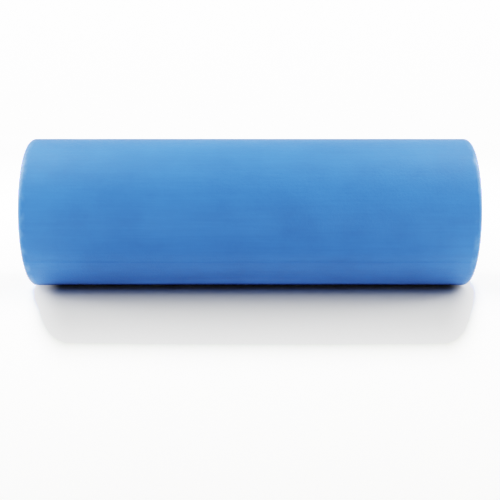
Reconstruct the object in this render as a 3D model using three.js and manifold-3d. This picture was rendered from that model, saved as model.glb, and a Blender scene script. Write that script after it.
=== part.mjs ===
// A hollow-core foam roller lying on its side on the floor.
//
// A rigid plastic core tube carries a thick sleeve of closed-cell foam. A moulded collar is bonded
// into each end of the tube: its flange covers the tube's cut edge and sits in a rebate in the foam.
// Each collar takes a removable push-in cap with a finger dish and a grip bar, held by the squeeze of
// a rubber ring in a groove round the cap's skirt. The hollow core behind the caps is storage space.
//
// Millimetres. +X runs along the roller, +Z is up, and the origin is on the floor under its middle.
import * as THREE from "three";
import { mergeVertices } from "three/addons/utils/BufferGeometryUtils.js";
import Module from "manifold-3d";

const wasm = await Module();
wasm.setup();

// Driving dimensions.
const LENGTH = 450; // over the foam's flat ends
const DIAMETER = 152; // over the foam
const CORE_DIAMETER = 110; // outside of the core tube
const CORE_WALL = 4;
const RIM_ROUNDING = 5; // on the foam's outer edges
const RING_SIDES = 60; // facets round every turned piece
const ARC_DIVISIONS = 2; // getPoints gives an arc twice this many chords
const FIT_GAP = 0.3; // the glue line, or the play, between neighbouring pieces
const SMALL_CHAMFER = 0.6;

// Depths and lengths at one end, measured inwards from the foam's flat end.
const RECESS = 1; // the collar and the cap stay this far below the foam's end
const FLANGE_THICKNESS = 3.4;
const FLANGE_INNER_FACE = RECESS + FLANGE_THICKNESS;
const REBATE_DEPTH = FLANGE_INNER_FACE + FIT_GAP; // also where the tube ends
const COLLAR_LENGTH = 23.4;
const CAP_RIM_THICKNESS = 1.5;
const CAP_LENGTH = 17;
const DISH_DEPTH = 12;
const DISH_LIP = 1.5; // the chamfer round the dish's mouth
const CAP_FLOOR = 2.5;

// Radii at one end.
const FOAM_RADIUS = DIAMETER / 2;
const CORE_RADIUS = CORE_DIAMETER / 2;
const CORE_BORE_RADIUS = CORE_RADIUS - CORE_WALL;
const REBATE_RADIUS = 62.3;
const FLANGE_RADIUS = REBATE_RADIUS - 2 * FIT_GAP;
const SPIGOT_RADIUS = CORE_BORE_RADIUS - FIT_GAP;
const SPIGOT_WALL = 3;
const COLLAR_BORE_RADIUS = SPIGOT_RADIUS - SPIGOT_WALL;
const SEAT_RADIUS = 54; // the counterbore that takes the cap's rim
const CAP_PLAY = 0.4; // radial, round the cap's rim
const CAP_RIM_RADIUS = SEAT_RADIUS - CAP_PLAY;
const SKIRT_RADIUS = COLLAR_BORE_RADIUS - 2 * CAP_PLAY;
const SKIRT_INNER_RADIUS = 43.2;
const DISH_MOUTH_RADIUS = 42.5;
const DISH_FLOOR_RADIUS = 41;

// The rubber ring and its groove in the cap's skirt.
const SEAL_SECTION = 2.2; // diameter of the ring's round section
const GROOVE_WIDTH = 2.8;
const GROOVE_RADIUS = 45; // of the groove's bottom
const GROOVE_FROM_END = 9.8; // of its middle, inwards from the foam's end
const SEAL_SIDES = 8; // of its section
const SEAL_RADIUS = GROOVE_RADIUS + FIT_GAP / 2 + SEAL_SECTION / 2; // of the section's centre

// The bar across the dish.
const BAR_FOOT_WIDTH = 15;
const BAR_TOP_WIDTH = 13;
const BAR_TOP = RECESS + DISH_LIP; // depth of its top face
const BAR_ROUNDING = 3;
const BAR_SINKS_IN = 1; // how far its foot and its ends run into the dish's floor and wall

// The cross of stiffening ribs behind the dish's floor, as deep as the skirt.
const RIB_THICKNESS = 2;
const RIB_SINKS_IN = 1; // how far its ends run into the skirt

// The flat facet that the roller lies on is this far below its axis.
const AXIS_HEIGHT = FOAM_RADIUS * Math.cos(Math.PI / RING_SIDES);

const material = (color, roughness) =>
  new THREE.MeshStandardMaterial({ color, roughness, metalness: 0 });
const FOAM = material(0x437fc1, 0.6);
const CORE_PLASTIC = material(0x3a3d42, 0.5);
const COLLAR_PLASTIC = material(0x2c2e32, 0.45);
const CAP_PLASTIC = material(0x2c2e32, 0.45);
const RUBBER = material(0x17181a, 0.85);

// A path turned about the Y axis. Its x is the radius and its y is the place along the axis, and
// it runs with the material on its left. A ring's path closes on itself.
function turned(path) {
  const halfFacet = Math.PI / RING_SIDES;
  return new THREE.LatheGeometry(path.getPoints(ARC_DIVISIONS), RING_SIDES, halfFacet);
}

// A closed path through a list of [radius, place] corners.
function cornered(corners) {
  return new THREE.Path(corners.map(([radius, along]) => new THREE.Vector2(radius, along)));
}

function solidOf(geometry) {
  const bare = geometry.clone();
  bare.deleteAttribute("normal");
  bare.deleteAttribute("uv");
  const merged = mergeVertices(bare, 1e-4);
  return new wasm.Manifold(
    new wasm.Mesh({
      numProp: 3,
      vertProperties: merged.attributes.position.array,
      triVerts: new Uint32Array(merged.index.array),
    }),
  );
}

function geometryOf(solid) {
  const mesh = solid.getMesh();
  return new THREE.BufferGeometry()
    .setAttribute("position", new THREE.BufferAttribute(mesh.vertProperties, 3))
    .setIndex(new THREE.BufferAttribute(mesh.triVerts, 1));
}

// The foam sleeve: a thick tube with rounded outer edges and a rebate in each end for the flange.
function foamSleeve() {
  const end = LENGTH / 2;
  const floor = end - REBATE_DEPTH;
  const bore = CORE_RADIUS + FIT_GAP;
  const edge = FOAM_RADIUS - RIM_ROUNDING;
  const path = new THREE.Path();
  path.moveTo(bore, -floor);
  path.lineTo(REBATE_RADIUS, -floor);
  path.lineTo(REBATE_RADIUS, -end);
  path.lineTo(edge, -end);
  path.absarc(edge, RIM_ROUNDING - end, RIM_ROUNDING, -Math.PI / 2, 0, false);
  path.lineTo(FOAM_RADIUS, end - RIM_ROUNDING);
  path.absarc(edge, end - RIM_ROUNDING, RIM_ROUNDING, 0, Math.PI / 2, false);
  path.lineTo(REBATE_RADIUS, end);
  path.lineTo(REBATE_RADIUS, floor);
  path.lineTo(bore, floor);
  path.lineTo(bore, -floor);
  return turned(path);
}

// The core tube, with a small chamfer on every cut edge.
function coreTube() {
  const end = LENGTH / 2 - REBATE_DEPTH;
  const shoulder = end - SMALL_CHAMFER;
  return turned(
    cornered([
      [CORE_BORE_RADIUS, -shoulder],
      [CORE_BORE_RADIUS + SMALL_CHAMFER, -end],
      [CORE_RADIUS - SMALL_CHAMFER, -end],
      [CORE_RADIUS, -shoulder],
      [CORE_RADIUS, shoulder],
      [CORE_RADIUS - SMALL_CHAMFER, end],
      [CORE_BORE_RADIUS + SMALL_CHAMFER, end],
      [CORE_BORE_RADIUS, shoulder],
      [CORE_BORE_RADIUS, -shoulder],
    ]),
  );
}

// The collar: a spigot that is bonded into the tube, and a flange with a counterbore for the cap's rim.
function collar() {
  const seat = RECESS + CAP_RIM_THICKNESS + FIT_GAP;
  return turned(
    cornered([
      [COLLAR_BORE_RADIUS, -COLLAR_LENGTH - RECESS],
      [SPIGOT_RADIUS - SMALL_CHAMFER, -COLLAR_LENGTH - RECESS],
      [SPIGOT_RADIUS, SMALL_CHAMFER - COLLAR_LENGTH - RECESS],
      [SPIGOT_RADIUS, -FLANGE_INNER_FACE],
      [FLANGE_RADIUS, -FLANGE_INNER_FACE],
      [FLANGE_RADIUS, -RECESS - SMALL_CHAMFER],
      [FLANGE_RADIUS - SMALL_CHAMFER, -RECESS],
      [SEAT_RADIUS, -RECESS],
      [SEAT_RADIUS, -seat],
      [COLLAR_BORE_RADIUS + SMALL_CHAMFER, -seat],
      [COLLAR_BORE_RADIUS, -seat - SMALL_CHAMFER],
      [COLLAR_BORE_RADIUS, -COLLAR_LENGTH - RECESS],
    ]),
  );
}

// The cap's turned body: rim, dish, floor and skirt with the seal's groove.
function capBody() {
  const dishFloor = RECESS + DISH_DEPTH;
  const rimBack = RECESS + CAP_RIM_THICKNESS;
  const skirtEnd = RECESS + CAP_LENGTH;
  const grooveOuter = GROOVE_FROM_END - GROOVE_WIDTH / 2;
  const grooveInner = GROOVE_FROM_END + GROOVE_WIDTH / 2;
  return turned(
    cornered([
      [0, -dishFloor - CAP_FLOOR],
      [SKIRT_INNER_RADIUS, -dishFloor - CAP_FLOOR],
      [SKIRT_INNER_RADIUS, -skirtEnd],
      [SKIRT_RADIUS - SMALL_CHAMFER, -skirtEnd],
      [SKIRT_RADIUS, SMALL_CHAMFER - skirtEnd],
      [SKIRT_RADIUS, -grooveInner],
      [GROOVE_RADIUS, -grooveInner],
      [GROOVE_RADIUS, -grooveOuter],
      [SKIRT_RADIUS, -grooveOuter],
      [SKIRT_RADIUS, -rimBack],
      [CAP_RIM_RADIUS, -rimBack],
      [CAP_RIM_RADIUS, -RECESS - SMALL_CHAMFER],
      [CAP_RIM_RADIUS - SMALL_CHAMFER, -RECESS],
      [DISH_MOUTH_RADIUS + DISH_LIP, -RECESS],
      [DISH_MOUTH_RADIUS, -RECESS - DISH_LIP],
      [DISH_FLOOR_RADIUS, -dishFloor],
      [0, -dishFloor],
    ]),
  );
}

// The grip bar's section, drafted so that it leaves its mould, with a rounded top.
function barSection() {
  const foot = -(RECESS + DISH_DEPTH + BAR_SINKS_IN);
  const shoulder = -BAR_TOP - BAR_ROUNDING;
  const arcAt = BAR_TOP_WIDTH / 2 - BAR_ROUNDING;
  const section = new THREE.Shape();
  section.moveTo(-BAR_FOOT_WIDTH / 2, foot);
  section.lineTo(BAR_FOOT_WIDTH / 2, foot);
  section.lineTo(BAR_TOP_WIDTH / 2, shoulder);
  section.absarc(arcAt, shoulder, BAR_ROUNDING, 0, Math.PI / 2, false);
  section.absarc(-arcAt, shoulder, BAR_ROUNDING, Math.PI / 2, Math.PI, false);
  section.lineTo(-BAR_FOOT_WIDTH / 2, foot);
  return section;
}

// The bar runs along X across the dish. It is trimmed to a plug a little bigger than the dish.
function gripBar() {
  const span = 2 * (DISH_MOUTH_RADIUS + BAR_SINKS_IN);
  const bar = new THREE.ExtrudeGeometry(barSection(), {
    depth: span,
    bevelEnabled: false,
    curveSegments: 4,
  });
  bar.translate(0, 0, -span / 2);
  bar.rotateY(Math.PI / 2);
  const plug = turned(
    cornered([
      [0, -RECESS - DISH_DEPTH - BAR_SINKS_IN],
      [DISH_FLOOR_RADIUS + BAR_SINKS_IN, -RECESS - DISH_DEPTH - BAR_SINKS_IN],
      [DISH_MOUTH_RADIUS + BAR_SINKS_IN, -BAR_TOP],
      [DISH_MOUTH_RADIUS + BAR_SINKS_IN, -RECESS],
      [0, -RECESS],
    ]),
  );
  return solidOf(bar).intersect(solidOf(plug));
}

// One straight rib that crosses the back of the cap from skirt to skirt.
function backRib() {
  const floorBack = RECESS + DISH_DEPTH + CAP_FLOOR;
  const foot = floorBack - CAP_FLOOR / 2;
  const height = RECESS + CAP_LENGTH - foot;
  const span = 2 * (SKIRT_INNER_RADIUS + RIB_SINKS_IN);
  return new THREE.BoxGeometry(span, height, RIB_THICKNESS).translate(0, -foot - height / 2, 0);
}

function cap() {
  const rib = backRib();
  const crossRib = backRib().rotateY(Math.PI / 2);
  const solid = solidOf(capBody()).add(gripBar()).add(solidOf(rib)).add(solidOf(crossRib));
  return geometryOf(solid);
}

// The rubber ring, with its round section as an octagon.
function seal() {
  const section = Array.from({ length: SEAL_SIDES + 1 }, (_, i) => {
    const angle = ((i % SEAL_SIDES) / SEAL_SIDES) * 2 * Math.PI;
    return [
      SEAL_RADIUS + (SEAL_SECTION / 2) * Math.cos(angle),
      -GROOVE_FROM_END + (SEAL_SECTION / 2) * Math.sin(angle),
    ];
  });
  return turned(cornered(section));
}

function named(name, geometry, itsMaterial) {
  const mesh = new THREE.Mesh(geometry, itsMaterial);
  mesh.name = name;
  return mesh;
}

// The pieces at one end. The group's +Y points out of the roller and its origin is on the foam's end.
function endPieces(side) {
  const group = new THREE.Group();
  group.add(
    named(`${side}_collar`, collar(), COLLAR_PLASTIC),
    named(`${side}_cap`, cap(), CAP_PLASTIC),
    named(`${side}_cap_seal`, seal(), RUBBER),
  );
  return group;
}

const rightEnd = endPieces("right");
rightEnd.position.y = LENGTH / 2;
const leftEnd = endPieces("left");
leftEnd.position.y = -LENGTH / 2;
leftEnd.rotation.x = Math.PI;

// Everything above is turned about Y; the roller's own axis is X, at half its height.
const roller = new THREE.Group();
roller.rotation.z = -Math.PI / 2;
roller.position.z = AXIS_HEIGHT;
roller.add(
  named("core_tube", coreTube(), CORE_PLASTIC),
  named("foam_sleeve", foamSleeve(), FOAM),
  leftEnd,
  rightEnd,
);

const part = new THREE.Group();
part.add(roller);

export default part;
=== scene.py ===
"""The looks of a hollow-core foam roller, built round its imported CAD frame. All lengths are metres.

The roller lies along X with its axis at half its height. The pieces of an end are made in the right
end's own terms, as (radius, along) outlines where `along` is measured outwards from the foam's end
face, and the left end's are the same pieces turned half round about Z.
"""

import math

import bpy
import numpy as np
from mathutils import Matrix, Vector, noise


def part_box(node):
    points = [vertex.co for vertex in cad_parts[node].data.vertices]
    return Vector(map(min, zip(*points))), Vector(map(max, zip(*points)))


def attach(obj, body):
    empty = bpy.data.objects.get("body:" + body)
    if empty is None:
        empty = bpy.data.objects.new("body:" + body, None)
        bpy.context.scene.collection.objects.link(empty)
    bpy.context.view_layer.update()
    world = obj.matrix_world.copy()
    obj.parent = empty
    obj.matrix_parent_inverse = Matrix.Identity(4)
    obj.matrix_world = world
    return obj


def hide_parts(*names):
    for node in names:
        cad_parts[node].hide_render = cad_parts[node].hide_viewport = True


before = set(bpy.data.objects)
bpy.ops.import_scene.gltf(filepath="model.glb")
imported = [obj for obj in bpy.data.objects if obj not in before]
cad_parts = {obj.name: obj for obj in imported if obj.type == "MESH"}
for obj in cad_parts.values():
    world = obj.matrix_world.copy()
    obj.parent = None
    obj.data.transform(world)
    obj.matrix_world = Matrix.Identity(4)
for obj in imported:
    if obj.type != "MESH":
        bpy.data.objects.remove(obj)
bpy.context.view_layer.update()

MM = 0.001

# The roller's own sizes, from the frame.
FOAM_LOW, FOAM_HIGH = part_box("foam_sleeve")
HALF_LENGTH = FOAM_HIGH.x
AXIS_HEIGHT = (FOAM_LOW.z + FOAM_HIGH.z) / 2
FOAM_RADIUS = AXIS_HEIGHT - FOAM_LOW.z
RIM_ROUNDING = 5 * MM


def outer_radius(node):
    """Half the height of a turned CAD node."""
    low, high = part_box(node)
    return (high.z - low.z) / 2


def depths(node):
    """How deep below the right end's face a node starts and ends."""
    low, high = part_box(node)
    return HALF_LENGTH - high.x, HALF_LENGTH - low.x


CORE_RADIUS = outer_radius("core_tube")
CORE_END = depths("core_tube")[0]
CORE_WALL = 4 * MM
GLUE_GAP = 0.3 * MM

FLANGE_RADIUS = outer_radius("right_collar")
RECESS, COLLAR_END = depths("right_collar")
FLANGE_THICKNESS = CORE_END - GLUE_GAP - RECESS
REBATE_RADIUS = FLANGE_RADIUS + 2 * GLUE_GAP
SPIGOT_RADIUS = CORE_RADIUS - CORE_WALL - GLUE_GAP
SPIGOT_WALL = 3 * MM
COLLAR_BORE = SPIGOT_RADIUS - SPIGOT_WALL

CAP_PLAY = 0.4 * MM
CAP_RIM_RADIUS = outer_radius("right_cap")
CAP_END = depths("right_cap")[1]
CAP_RIM_THICKNESS = 1.5 * MM
SEAT_RADIUS = CAP_RIM_RADIUS + CAP_PLAY
SKIRT_RADIUS = COLLAR_BORE - 2 * CAP_PLAY
SKIRT_WALL = 3.7 * MM
DISH_DEPTH = 12 * MM
DISH_MOUTH_RADIUS = 42.5 * MM
DISH_FLOOR_RADIUS = 41 * MM
CAP_FLOOR = 2.5 * MM

SEAL_OUTER_RADIUS = outer_radius("right_cap_seal")
SEAL_FRONT, SEAL_BACK = depths("right_cap_seal")
SEAL_SECTION = SEAL_BACK - SEAL_FRONT
SEAL_DEPTH = (SEAL_FRONT + SEAL_BACK) / 2
GROOVE_RADIUS = SEAL_OUTER_RADIUS - SEAL_SECTION - GLUE_GAP / 2
GROOVE_HALF_WIDTH = SEAL_SECTION / 2 + GLUE_GAP

BAR_FOOT_WIDTH = 15 * MM
BAR_TOP_WIDTH = 13 * MM
BAR_BELOW_RIM = 1.5 * MM
BAR_ROUNDING = 3 * MM
BAR_FLARE = 1.6 * MM
RIB_THICKNESS = 2 * MM

RIB_TAPER = 0.8

# The sleeve is a slab wrapped round the core, and this is where its two edges are bonded.
SEAM_ANGLE = math.radians(238)
SEAM_HALF_WIDTH = 0.55 * MM
SEAM_DEPTH = 0.35 * MM

# How many sides the turned pieces have, and how far a joined part reaches into the next.
SLEEVE_SIDES = 288
TUBE_SIDES = 160
MOULDING_SIDES = 192
FLOOR_SIDES = 96
BITE = 1 * MM

# Edges that turn more than this stay sharp.
SHARP_ANGLE = math.radians(50)


# ---------------------------------------------------------------- outlines and turned meshes


def outline(corners, steps=4):
    """(radius, along, worn) points from (radius, along, rounding) corners.

    Each rounding becomes an arc, whose points are marked as worn.
    """
    points = []
    for i, (radius, along, rounding) in enumerate(corners):
        corner = Vector((radius, along))
        if not rounding:
            points.append((radius, along, 0.0))
            continue
        before = (Vector(corners[i - 1][:2]) - corner).normalized()
        after = (Vector(corners[(i + 1) % len(corners)][:2]) - corner).normalized()
        half_angle = before.angle(after) / 2
        centre = corner + (before + after).normalized() * rounding / math.sin(half_angle)
        spoke = corner + before * rounding / math.tan(half_angle) - centre
        sweep = math.pi - 2 * half_angle
        if before.x * after.y - before.y * after.x > 0:
            sweep = -sweep
        for step in range(steps + 1):
            turned_spoke = Matrix.Rotation(sweep * step / steps, 2) @ spoke
            points.append((*(centre + turned_spoke), 1.0))
    return points


def on_circle(radius, angle, x):
    """A point at that distance from the roller's axis.

    Angle 0 is straight up, and a quarter turn is towards +Y.
    """
    return Vector((x, radius * math.sin(angle), AXIS_HEIGHT + radius * math.cos(angle)))


def angles_round(sides):
    return [2 * math.pi * i / sides for i in range(sides)]


def winding(points):
    """Above 0 for an anticlockwise outline, its first coordinate to the right and its second upwards."""
    return sum(a[0] * b[1] - b[0] * a[1] for a, b in zip(points, [*points[1:], points[0]]))


def lathe(points, angles, place, closed):
    """The vertices, faces and wear of an outline turned round. A point at radius 0 is one vertex."""
    vertices, worn, rings = [], [], []
    for radius, along, wear in points:
        around = angles if radius > 0 else angles[:1]
        rings.append(range(len(vertices), len(vertices) + len(around)))
        vertices += [place(radius, along, angle) for angle in around]
        worn += [wear] * len(around)
    if closed:
        rings.append(rings[0])
    faces = []
    for one, other in zip(rings, rings[1:]):
        for i in range(len(angles)):
            j = (i + 1) % len(angles)
            corners = (one[i % len(one)], one[j % len(one)], other[j % len(other)], other[i % len(other)])
            faces.append(tuple(dict.fromkeys(corners)))
    return vertices, faces, worn


def at_right_end(radius, along, angle):
    """The place of a point that is measured outwards from the foam's right end face."""
    return on_circle(radius, angle, HALF_LENGTH + along)


def turned(name, points, angles, place=at_right_end):
    """A closed mesh: the outline turned about the roller's axis, with its faces outwards.

    An outline that starts at radius 0 makes a disc, and any other closes on itself.
    """
    if winding(points) > 0:
        points = points[::-1]
    return new_piece(name, *lathe(points, angles, place, closed=points[0][0] > 0))


def new_piece(name, vertices, faces, worn=None):
    """A mesh object in the scene, with how worn each vertex is where that is given."""
    mesh = bpy.data.meshes.new(name)
    mesh.from_pydata(vertices, [], faces)
    if worn:
        mesh.attributes.new("worn", "FLOAT", "POINT").data.foreach_set("value", worn)
    mesh.validate()
    piece = bpy.data.objects.new(name, mesh)
    bpy.context.scene.collection.objects.link(piece)
    return piece


def smooth(piece):
    """Smooth shading whose normals lean towards the larger faces, so that flat faces look flat."""
    piece.data.polygons.foreach_set("use_smooth", [True] * len(piece.data.polygons))
    piece.data.set_sharp_from_angle(angle=SHARP_ANGLE)
    weighted = piece.modifiers.new("weighted_normals", "WEIGHTED_NORMAL")
    weighted.keep_sharp = True


def joined(piece, *others):
    """The union of closed meshes, left in the first."""
    for other in others:
        union = piece.modifiers.new("union", "BOOLEAN")
        union.operation = "UNION"
        union.solver = "EXACT"
        union.object = other
    depsgraph = bpy.context.evaluated_depsgraph_get()
    solid = bpy.data.meshes.new_from_object(piece.evaluated_get(depsgraph))
    piece.modifiers.clear()
    piece.data = solid
    for other in others:
        bpy.data.objects.remove(other)
    return piece


def put_on_left(piece):
    """Turns a piece of the right end half round, which makes it the left end's."""
    piece.data.transform(Matrix.Rotation(math.pi, 4, "Z"))


# ---------------------------------------------------------------- pieces


def seam_angles(sides):
    """Even steps round the sleeve, with fine ones across the bonded seam."""
    fine = [SEAM_ANGLE + share * SEAM_HALF_WIDTH / FOAM_RADIUS for share in (-2, -1, -0.4, 0.4, 1, 2)]
    reach = 3 * SEAM_HALF_WIDTH / FOAM_RADIUS
    even = [a for a in angles_round(sides) if abs(a - SEAM_ANGLE) > reach]
    return sorted(even + fine)


def in_seam(angle):
    """1 in the middle of the bonded seam and 0 outside it."""
    away = abs(angle - SEAM_ANGLE) * FOAM_RADIUS / SEAM_HALF_WIDTH
    return max(0.0, 1 - away) ** 0.5


def foam_sleeve():
    """The foam, slightly uneven as a skived slab is, with softly rounded rims and a rebate in each end."""
    bore = CORE_RADIUS + GLUE_GAP
    floor = HALF_LENGTH - CORE_END
    skin_steps = 150
    fine_round = 0.3 * MM
    broad_waves, broad_height = 14, 0.10 * MM
    fine_waves, fine_height = 90, 0.035 * MM
    shaved = 0.08 * MM
    margin = 1 * MM
    rim = [
        (REBATE_RADIUS, floor, 0),
        (REBATE_RADIUS, HALF_LENGTH, fine_round),
        ((REBATE_RADIUS + FOAM_RADIUS) / 2, HALF_LENGTH, 0),
        (FOAM_RADIUS, HALF_LENGTH, RIM_ROUNDING),
        (FOAM_RADIUS, 0, 0),
    ]
    right_rim = outline([(bore, floor, 0), *rim], steps=8)[:-1]
    left_rim = [(radius, -x, worn) for radius, x, worn in reversed(right_rim)]
    skin_end = HALF_LENGTH - RIM_ROUNDING
    skin = [(FOAM_RADIUS, skin_end * (1 - 2 * i / skin_steps), 0.0) for i in range(1, skin_steps)]

    def place(radius, x, angle):
        """The point on the worked foam, where the seam dents the skin and the end faces only."""
        outside = (radius - bore) / (FOAM_RADIUS - bore)
        spot = on_circle(radius, angle, x)
        swell = noise.noise(spot * broad_waves) * broad_height + noise.noise(spot * fine_waves) * fine_height
        dent = in_seam(angle) * SEAM_DEPTH
        grown = radius + min(0.0, swell - shaved) * outside
        if radius > REBATE_RADIUS + margin:
            grown -= dent
        if abs(x) > HALF_LENGTH - margin:
            x -= math.copysign(dent, x)
        return on_circle(grown, angle, x)

    return turned("blue_foam_sleeve", right_rim + skin + left_rim, seam_angles(SLEEVE_SIDES), place)


def core_tube():
    """The rigid tube that the foam is bonded to, with its cut edges broken."""
    bore = CORE_RADIUS - CORE_WALL
    end = HALF_LENGTH - CORE_END
    edge = 0.5 * MM
    corners = [(bore, -end, edge), (CORE_RADIUS, -end, edge), (CORE_RADIUS, end, edge), (bore, end, edge)]
    return turned(
        "moulded_core_tube",
        outline(corners),
        angles_round(TUBE_SIDES),
        lambda radius, x, angle: on_circle(radius, angle, x),
    )


def collar(side):
    """The bonded trim ring: a flange with a counterbore for the cap's rim, on a spigot in the tube."""
    front, back = -RECESS, -RECESS - FLANGE_THICKNESS
    seat = front - CAP_RIM_THICKNESS - GLUE_GAP
    corners = [
        (COLLAR_BORE, -COLLAR_END, 0.4 * MM),
        (SPIGOT_RADIUS, -COLLAR_END, 0.6 * MM),
        (SPIGOT_RADIUS, back, 0.2 * MM),
        (FLANGE_RADIUS, back, 0.3 * MM),
        (FLANGE_RADIUS, front, 0.7 * MM),
        (SEAT_RADIUS, front, 0.3 * MM),
        (SEAT_RADIUS, seat, 0.2 * MM),
        (COLLAR_BORE, seat, 0.6 * MM),
    ]
    return turned(f"moulded_{side}_collar", outline(corners), angles_round(MOULDING_SIDES))


def cap_body(side):
    """The cap without its bar and ribs: rim, dish, floor, and a skirt with the rubber ring's groove."""
    front, rim_back = -RECESS, -RECESS - CAP_RIM_THICKNESS
    dish_floor = front - DISH_DEPTH
    floor_back = dish_floor - CAP_FLOOR
    groove_front, groove_back = -SEAL_DEPTH + GROOVE_HALF_WIDTH, -SEAL_DEPTH - GROOVE_HALF_WIDTH
    corners = [
        (0, floor_back, 0),
        (SKIRT_RADIUS - SKIRT_WALL, floor_back, 0.6 * MM),
        (SKIRT_RADIUS - SKIRT_WALL, -CAP_END, 0.4 * MM),
        (SKIRT_RADIUS, -CAP_END, 0.6 * MM),
        (SKIRT_RADIUS, groove_back, 0.2 * MM),
        (GROOVE_RADIUS, groove_back, 0.3 * MM),
        (GROOVE_RADIUS, groove_front, 0.3 * MM),
        (SKIRT_RADIUS, groove_front, 0.2 * MM),
        (SKIRT_RADIUS, rim_back, 0.2 * MM),
        (CAP_RIM_RADIUS, rim_back, 0.3 * MM),
        (CAP_RIM_RADIUS, front, 0.6 * MM),
        (DISH_MOUTH_RADIUS, front, 1.5 * MM),
        (DISH_FLOOR_RADIUS, dish_floor, 2.5 * MM),
        (0, dish_floor, 0),
    ]
    return turned(f"moulded_{side}_cap", outline(corners, steps=6), angles_round(MOULDING_SIDES))


def extruded(name, section, half_span):
    """A section of (across, along) points drawn out along Y to both sides of the roller's axis."""
    if winding(section) < 0:
        section = section[::-1]
    vertices = []
    for y in (-half_span, half_span):
        vertices += [Vector((HALF_LENGTH + along, y, AXIS_HEIGHT + across)) for across, along in section]
    count = len(section)
    walls = [(i, (i + 1) % count, count + (i + 1) % count, count + i) for i in range(count)]
    ends = [tuple(reversed(range(count))), tuple(range(count, 2 * count))]
    return new_piece(name, vertices, walls + ends)


def grip_bar():
    """The bar across the dish, rounded on top and flared into the dish's floor."""
    floor = -RECESS - DISH_DEPTH
    top = -RECESS - BAR_BELOW_RIM
    foot, crown = BAR_FOOT_WIDTH / 2, BAR_TOP_WIDTH / 2
    sunk, lip = 0.8 * MM, 0.05 * MM
    corners = [
        (foot + BAR_FLARE, floor - sunk, 0),
        (foot + BAR_FLARE, floor - lip, 0),
        (foot, floor, BAR_FLARE),
        (crown, top, BAR_ROUNDING),
        (-crown, top, BAR_ROUNDING),
        (-foot, floor, BAR_FLARE),
        (-foot - BAR_FLARE, floor - lip, 0),
        (-foot - BAR_FLARE, floor - sunk, 0),
    ]
    section = [(across, along) for across, along, _ in outline(corners, steps=6)]
    return extruded("grip_bar", section, DISH_FLOOR_RADIUS + BITE)


def back_ribs():
    """A cross of two ribs behind the dish's floor, just short of the skirt's end."""
    sunk, short = 0.5 * MM, 0.1 * MM
    root = -RECESS - DISH_DEPTH - CAP_FLOOR + sunk
    edge = -CAP_END + short
    half_root = RIB_THICKNESS / 2
    half_edge = half_root * RIB_TAPER
    rounding = 0.3 * MM
    corners = [
        (half_root, root, 0),
        (half_edge, edge, rounding),
        (-half_edge, edge, rounding),
        (-half_root, root, 0),
    ]
    section = [(across, along) for across, along, _ in outline(corners)]
    half_span = SKIRT_RADIUS - SKIRT_WALL + BITE
    upright = extruded("upright_rib", section, half_span)
    level = extruded("level_rib", section, half_span)
    to_axis = Matrix.Translation((0, 0, AXIS_HEIGHT))
    upright.data.transform(to_axis @ Matrix.Rotation(math.pi / 2, 4, "X") @ to_axis.inverted())
    return upright, level


def cap(side):
    """The whole cap, as one moulding."""
    return joined(cap_body(side), grip_bar(), *back_ribs())


def cap_seal(side):
    """The rubber ring, with the fine flash line that its mould leaves round the outside."""
    section_radius = SEAL_SECTION / 2
    centre = SEAL_OUTER_RADIUS - section_radius
    flash_height = 0.05 * MM
    points = []
    for angle in angles_round(24):
        flash = flash_height if angle == 0 else 0.0
        radius = centre + (section_radius + flash) * math.cos(angle)
        points.append((radius, -SEAL_DEPTH + section_radius * math.sin(angle), 0.0))
    return turned(f"rubber_{side}_cap_seal", points, angles_round(MOULDING_SIDES))


# ---------------------------------------------------------------- materials


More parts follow.
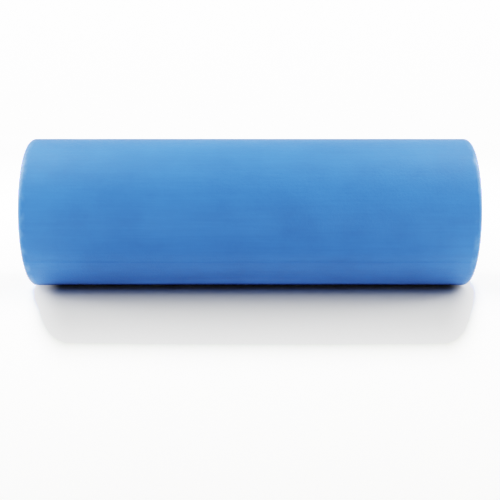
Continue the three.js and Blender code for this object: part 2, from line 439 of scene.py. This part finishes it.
class Graph:
    """A material's node tree, with its shader."""

    def __init__(self, name):
        self.material = bpy.data.materials.new(name)
        self.material.use_nodes = True
        self.nodes = self.material.node_tree.nodes
        self.links = self.material.node_tree.links
        self.shader = self.nodes["Principled BSDF"]
        self.place = self.nodes.new("ShaderNodeTexCoord").outputs["Object"]

    def put(self, socket, value):
        """Links a socket's value, or sets a plain one."""
        if isinstance(value, bpy.types.NodeSocket):
            self.links.new(value, socket)
        else:
            socket.default_value = value

    def stretched(self, scale):
        mapping = self.nodes.new("ShaderNodeMapping")
        mapping.inputs["Scale"].default_value = scale
        self.links.new(self.place, mapping.inputs["Vector"])
        return mapping.outputs["Vector"]

    def noise(self, scale, detail=2.0, rough=0.5, place=None):
        node = self.nodes.new("ShaderNodeTexNoise")
        node.inputs["Scale"].default_value = scale
        node.inputs["Detail"].default_value = detail
        node.inputs["Roughness"].default_value = rough
        self.links.new(place or self.place, node.inputs["Vector"])
        return node.outputs["Fac"]

    def cells(self, scale, output="Distance"):
        node = self.nodes.new("ShaderNodeTexVoronoi")
        node.inputs["Scale"].default_value = scale
        self.links.new(self.place, node.inputs["Vector"])
        return node.outputs[output]

    def mapped(self, value, low, high, to_low=0.0, to_high=1.0):
        node = self.nodes.new("ShaderNodeMapRange")
        for name, given in (("From Min", low), ("From Max", high), ("To Min", to_low), ("To Max", to_high)):
            node.inputs[name].default_value = given
        self.links.new(value, node.inputs["Value"])
        return node.outputs["Result"]

    def eased(self, value, low, high, to_low, to_high):
        result = self.mapped(value, low, high, to_low, to_high)
        result.node.interpolation_type = "SMOOTHSTEP"
        return result

    def maths(self, operation, one, other=0.0):
        node = self.nodes.new("ShaderNodeMath")
        node.operation = operation
        self.put(node.inputs[0], one)
        self.put(node.inputs[1], other)
        return node.outputs["Value"]

    def mixed(self, share, one, other):
        node = self.nodes.new("ShaderNodeMix")
        node.data_type = "RGBA"
        self.put(node.inputs["Factor"], share)
        self.put(node.inputs["A"], one)
        self.put(node.inputs["B"], other)
        return node.outputs["Result"]

    def attribute(self, name):
        node = self.nodes.new("ShaderNodeAttribute")
        node.attribute_name = name
        return node.outputs["Fac"]

    def bump(self, height, distance):
        """Adds a relief of that height in metres on top of the reliefs already there."""
        node = self.nodes.new("ShaderNodeBump")
        node.inputs["Distance"].default_value = distance
        self.links.new(height, node.inputs["Height"])
        normal = self.shader.inputs["Normal"]
        if normal.is_linked:
            self.links.new(normal.links[0].from_socket, node.inputs["Normal"])
        self.links.new(node.outputs["Normal"], normal)

    def finish(self, **inputs):
        """The material, with the shader's inputs set by name."""
        for name, value in inputs.items():
            self.put(self.shader.inputs[name.replace("_", " ")], value)
        return self.material


def shade(colour, factor=1.0):
    """A colour made darker or lighter, as a node's socket takes it."""
    red, green, blue = colour
    return (red * factor, green * factor, blue * factor, 1.0)


FOAM_BLUE = (0.052, 0.153, 0.432)
RUBBED_BLUE = (0.20, 0.34, 0.62)
TRIM_BLACK = (0.026, 0.027, 0.032)
CORE_GREY = (0.042, 0.046, 0.054)
RUBBER_BLACK = (0.009, 0.009, 0.010)
BLOOM_GREY = (0.030, 0.030, 0.032)


def foam_skin():
    """The skived outside of closed-cell foam.

    It has pebbles, fine cells with painted shade in their hollows, streaks and bands along the roller,
    cloudy colour and rubbed rims.
    """
    g = Graph("foam_skin")
    clouds = g.noise(22, detail=3)
    patches = g.noise(140, detail=2)
    streaks = g.noise(1, detail=3, place=g.stretched((18, 420, 420)))
    bands = g.noise(1, detail=2, place=g.stretched((5, 90, 90)))
    cells = g.cells(1500)
    grain = g.noise(2600, detail=2)
    pebbles = g.noise(380, detail=3, rough=0.6)
    colour = g.mixed(g.mapped(clouds, 0.35, 0.65), shade(FOAM_BLUE, 0.95), shade(FOAM_BLUE, 1.06))
    colour = g.mixed(g.mapped(patches, 0.3, 0.7, 0.0, 0.16), colour, shade(FOAM_BLUE, 1.25))
    colour = g.mixed(g.mapped(bands, 0.4, 0.62, 0.0, 0.15), colour, shade(FOAM_BLUE, 0.80))
    colour = g.mixed(g.mapped(streaks, 0.35, 0.7, 0.0, 0.18), colour, shade(FOAM_BLUE, 0.76))
    # The fine cells' hollows are painted a darker blue: painted shade.
    colour = g.mixed(g.mapped(cells, 0.0, 0.35, 0.20, 0.0), colour, shade(FOAM_BLUE, 0.62))
    worn = g.attribute("worn")
    rubbed = g.maths("MULTIPLY", worn, g.mapped(g.noise(90, detail=4), 0.45, 0.75, 0.0, 0.35))
    colour = g.mixed(rubbed, colour, shade(RUBBED_BLUE))
    g.bump(pebbles, 0.22 * MM)
    g.bump(streaks, 0.06 * MM)
    g.bump(cells, 0.07 * MM)
    g.bump(grain, 0.03 * MM)
    rough = g.mapped(patches, 0.3, 0.7, 0.50, 0.60)
    polish = g.maths("MULTIPLY", worn, 0.16)
    return g.finish(
        Base_Color=colour,
        Roughness=g.maths("SUBTRACT", rough, polish),
        Specular_IOR_Level=0.24,
        Sheen_Weight=0.05,
        Sheen_Roughness=0.55,
    )


def foam_cut():
    """A cut face of the foam: open cells with painted shade in their pits, and faint blade marks."""
    g = Graph("foam_cut")
    cells = g.cells(1050)
    pick = g.cells(1050, "Color")
    big_cells = g.cells(400)
    blade = g.noise(1, detail=2, place=g.stretched((60, 60, 900)))
    clouds = g.noise(60, detail=3)
    open_cell = g.maths("MULTIPLY", g.mapped(cells, 0.12, 0.42, 1.0, 0.0), g.mapped(pick, 0.35, 0.75))
    open_big = g.mapped(big_cells, 0.12, 0.26, 0.8, 0.0)
    pits = g.maths("MAXIMUM", open_cell, open_big)
    colour = g.mixed(g.mapped(clouds, 0.35, 0.65), shade(FOAM_BLUE, 1.05), shade(FOAM_BLUE, 1.18))
    # The pits are painted a darker copy of the foam's blue: painted shade in the open cells.
    colour = g.mixed(g.maths("MULTIPLY", pits, 0.75), colour, shade(FOAM_BLUE, 0.42))
    g.bump(blade, 0.08 * MM)
    g.bump(g.maths("SUBTRACT", 1.0, pits), 0.22 * MM)
    return g.finish(Base_Color=colour, Roughness=0.72, Specular_IOR_Level=0.3, Sheen_Weight=0.15)


def moulded_plastic(name):
    """Satin moulded plastic with a spark-eroded texture, handling marks and paler edges."""
    g = Graph(name)
    erosion = g.noise(2400, detail=3, rough=0.6)
    smudges = g.noise(45, detail=4, rough=0.6)
    colour = g.mixed(g.mapped(smudges, 0.4, 0.7), shade(TRIM_BLACK, 0.92), shade(TRIM_BLACK, 1.12))
    edge = g.maths("MULTIPLY", g.attribute("worn"), g.mapped(g.noise(260, detail=3), 0.42, 0.7, 0.1, 0.6))
    colour = g.mixed(edge, colour, shade(TRIM_BLACK, 2.6))
    g.bump(erosion, 0.05 * MM)
    return g.finish(
        Base_Color=colour,
        Roughness=g.mapped(smudges, 0.35, 0.7, 0.36, 0.50),
        Specular_IOR_Level=0.5,
    )


def extruded_plastic():
    """Extruded tube plastic, with faint die lines along it."""
    g = Graph("core_plastic")
    lines = g.noise(1, detail=3, place=g.stretched((4, 700, 700)))
    clouds = g.noise(30, detail=3)
    colour = g.mixed(g.mapped(clouds, 0.35, 0.7), shade(CORE_GREY, 0.9), shade(CORE_GREY, 1.15))
    g.bump(lines, 0.08 * MM)
    g.bump(g.noise(1800), 0.02 * MM)
    return g.finish(Base_Color=colour, Roughness=g.mapped(lines, 0.3, 0.7, 0.40, 0.52))


def seal_rubber():
    """Black rubber with a grey bloom in places."""
    g = Graph("seal_rubber")
    bloom = g.noise(300, detail=4)
    colour = g.mixed(g.mapped(bloom, 0.45, 0.75), shade(RUBBER_BLACK), shade(BLOOM_GREY))
    g.bump(g.noise(3500), 0.015 * MM)
    rough = g.mapped(bloom, 0.4, 0.7, 0.55, 0.72)
    return g.finish(Base_Color=colour, Roughness=rough, Specular_IOR_Level=0.4)


# ---------------------------------------------------------------- stage, lights and camera


FLOOR_REACH = 3.0
WALL_HEIGHT = 0.9
SWEEP_ROUNDING = 0.5


def floor():
    """A round translucent white table that sweeps up to a white wall, with a painted shadow in its glow.

    It casts no shadow, which lets the softbox under it light the roller from below.
    """
    corners = [(0, 0, 0), (FLOOR_REACH, 0, SWEEP_ROUNDING), (FLOOR_REACH, WALL_HEIGHT, 0)]
    sweep = outline([*corners, (0, WALL_HEIGHT, 0)], steps=12)[:-1]

    def place(radius, height, angle):
        return Vector((radius * math.cos(angle), radius * math.sin(angle), height))

    ground = new_piece("floor", *lathe(sweep, angles_round(FLOOR_SIDES), place, closed=False))
    smooth(ground)
    ground.data.materials.append(floor_glow_with_painted_shadow())
    ground.visible_shadow = False


FLAG_DEPTH = 12 * MM
FLAG_HALF_WIDTH = 30 * MM
FLAG_BLACK = (0.01, 0.01, 0.01)


def flag():
    """A dark card just under the table, which keeps the light from below off the roller's contact line."""
    corners = [(-1, -1), (1, -1), (1, 1), (-1, 1)]
    vertices = [Vector((x * HALF_LENGTH, y * FLAG_HALF_WIDTH, -FLAG_DEPTH)) for x, y in corners]
    card = new_piece("flag", vertices, [(0, 1, 2, 3)])
    card.data.materials.append(Graph("flag_cloth").finish(Base_Color=shade(FLAG_BLACK), Roughness=0.9))


FLOOR_WHITE = (0.40, 0.398, 0.39)
GLOW_WHITE = (1, 1, 1)

# The table glows beside the roller, from one distance to the next, and more so far off. The patch round the
# roller that does not glow is a painted shadow.
NEAR_GLOW = 0.70
NEAR_GLOW_REACH = 0.02
NEAR_GLOW_FROM, NEAR_GLOW_FULL = 0.09, 0.31
FAR_GLOW = 0.55
FAR_GLOW_FROM, FAR_GLOW_FULL = 0.7, 2.0

# Past the roller's ends a distance counts for more. It starts before the end, and sooner to the side. This
# shapes the painted shadow's ends.
END_GLOW_SPEED = 6
END_GLOW_REACH = 0.037
END_GLOW_LEAN = 0.15
END_GLOW_SHIFT = 0.005


def floor_glow_with_painted_shadow():
    """Glowing white paint, with a painted shadow round the roller where it does not glow."""
    g = Graph("floor_glow_with_painted_shadow")
    split = g.nodes.new("ShaderNodeSeparateXYZ")
    g.links.new(g.place, split.inputs["Vector"])
    along = g.maths("ABSOLUTE", g.maths("SUBTRACT", split.outputs["X"], END_GLOW_SHIFT))
    across = g.maths("ABSOLUTE", split.outputs["Y"])
    leaning = g.maths("ADD", along, g.maths("MULTIPLY", across, END_GLOW_LEAN))
    past_end = g.maths("MAXIMUM", g.maths("SUBTRACT", leaning, HALF_LENGTH - END_GLOW_REACH))
    past_side = g.maths("MAXIMUM", g.maths("SUBTRACT", across, NEAR_GLOW_REACH))
    past_end = g.maths("MULTIPLY", past_end, END_GLOW_SPEED)
    squares = g.maths("ADD", g.maths("POWER", past_end, 2), g.maths("POWER", past_side, 2))
    away = g.maths("SQRT", squares)
    # Where this glow is missing, round the roller, the floor carries a painted shadow.
    near = g.eased(away, NEAR_GLOW_FROM, NEAR_GLOW_FULL, 0, NEAR_GLOW)
    far = g.eased(away, FAR_GLOW_FROM, FAR_GLOW_FULL, 0, FAR_GLOW)
    return g.finish(
        Base_Color=shade(FLOOR_WHITE),
        Roughness=0.9,
        Specular_IOR_Level=0.05,
        Emission_Color=shade(GLOW_WHITE),
        Emission_Strength=g.maths("ADD", near, far),
    )


def softbox(name, place, aim, size, power):
    """A rectangular light that faces the aim. Its power is in watts."""
    light = bpy.data.lights.new(name, "AREA")
    light.shape = "RECTANGLE"
    light.size, light.size_y = size
    light.energy = power
    lamp = bpy.data.objects.new(name, light)
    bpy.context.scene.collection.objects.link(lamp)
    lamp.location = place
    lamp.rotation_euler = (Vector(aim) - Vector(place)).to_track_quat("-Z", "Y").to_euler()


def lights():
    """Large softboxes above and behind, one under the translucent table, and no ambient light."""
    middle = Vector((0, 0, AXIS_HEIGHT))
    softbox("left_high", (-0.75, -0.35, 0.75), middle, (0.5, 0.8), 6.8)
    softbox("right_high", (0.75, -0.35, 0.75), middle, (0.5, 0.8), 5.4)
    softbox("over_left", (-0.8, 0.2, 0.9), middle, (0.6, 0.9), 10.6)
    softbox("over_right", (0.8, 0.2, 0.9), middle, (0.6, 0.9), 11.4)
    softbox("rim_left", (-1.15, 0.3, 0.5), middle, (0.4, 0.5), 5)
    softbox("rim_right", (1.15, 0.3, 0.5), middle, (0.4, 0.5), 5)
    softbox("behind", (0, 1.3, 0.9), middle, (2.0, 0.6), 2.4)
    softbox("under_table", (0, -0.05, -0.6), middle, (1.6, 0.3), 4.35)
    world = bpy.data.worlds.new("studio")
    world.use_nodes = True
    world.node_tree.nodes["Background"].inputs["Color"].default_value = (0, 0, 0, 1)
    bpy.context.scene.world = world


# The lens and the sensor are in millimetres, as Blender takes them.
CAMERA_DISTANCE = 1.025
CAMERA_ELEVATION = math.radians(8)
CAMERA_LENS = 70.8
CAMERA_SENSOR = 36
AIM_BELOW_AXIS = math.radians(2.2)


def camera():
    """The photo's camera: in front, a little above, and aimed a little below the roller's axis."""
    data = bpy.data.cameras.new("camera")
    data.lens = CAMERA_LENS
    data.sensor_width = CAMERA_SENSOR
    eye = bpy.data.objects.new("camera", data)
    bpy.context.scene.collection.objects.link(eye)
    back = Vector((0, -math.cos(CAMERA_ELEVATION), math.sin(CAMERA_ELEVATION)))
    eye.location = Vector((0, 0, AXIS_HEIGHT)) + back * CAMERA_DISTANCE
    eye.rotation_euler = (math.pi / 2 - CAMERA_ELEVATION - AIM_BELOW_AXIS, 0, 0)
    bpy.context.scene.camera = eye


# Above WHITE_STARTS the brightness rises steeply, and at WHITE_CLIPS it reaches CLIPPED.
WHITE_STARTS = 1.15
WHITE_CLIPS = 1.9
CLIPPED = 14.0


def film():
    """Contrasty film whose whites clip just above the brightest blue of the foam."""
    view = bpy.context.scene.view_settings
    view.view_transform = "Filmic"
    view.look = "Very High Contrast"
    view.use_curve_mapping = True
    curves = view.curve_mapping
    curves.clip_max_x = CLIPPED
    curves.clip_max_y = CLIPPED
    *_, combined = curves.curves
    tone = combined.points
    tone[0].location = (0, 0)
    tone[1].location = (WHITE_STARTS, WHITE_STARTS)
    tone.new(WHITE_CLIPS, CLIPPED)
    for point in tone:
        point.handle_type = "VECTOR"
    curves.update()


# ---------------------------------------------------------------- assembly


def shown(piece, body, node, slot, *materials):
    """Gives a finished piece its materials, and its place in the frame."""
    piece.data.materials.clear()
    for material in materials:
        piece.data.materials.append(material)
    smooth(piece)
    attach(piece, body)
    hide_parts(node)


# The share of a rim's rounding that has skin on it.
SKIN_ON_RIM = 0.8


def paint_cut_faces(piece):
    """The second material goes on everything inside the rims."""
    inside = FOAM_RADIUS - SKIN_ON_RIM * RIM_ROUNDING
    for face in piece.data.polygons:
        centre = face.center
        face.material_index = int(math.hypot(centre.y, centre.z - AXIS_HEIGHT) < inside)


sleeve = foam_sleeve()
shown(sleeve, "roller", "foam_sleeve", "foam", foam_skin(), foam_cut())
paint_cut_faces(sleeve)
shown(core_tube(), "roller", "core_tube", "core_plastic", extruded_plastic())
trim_plastic = moulded_plastic("trim_plastic")
cap_plastic = moulded_plastic("cap_plastic")
rubber = seal_rubber()
for side in ("left", "right"):
    ring, lid, seal = collar(side), cap(side), cap_seal(side)
    if side == "left":
        for piece in (ring, lid, seal):
            put_on_left(piece)
    shown(ring, "roller", f"{side}_collar", "trim_plastic", trim_plastic)
    shown(lid, f"{side}_cap_unit", f"{side}_cap", "cap_plastic", cap_plastic)
    shown(seal, f"{side}_cap_unit", f"{side}_cap_seal", "seal_rubber", rubber)

floor()
flag()
lights()
camera()
film()
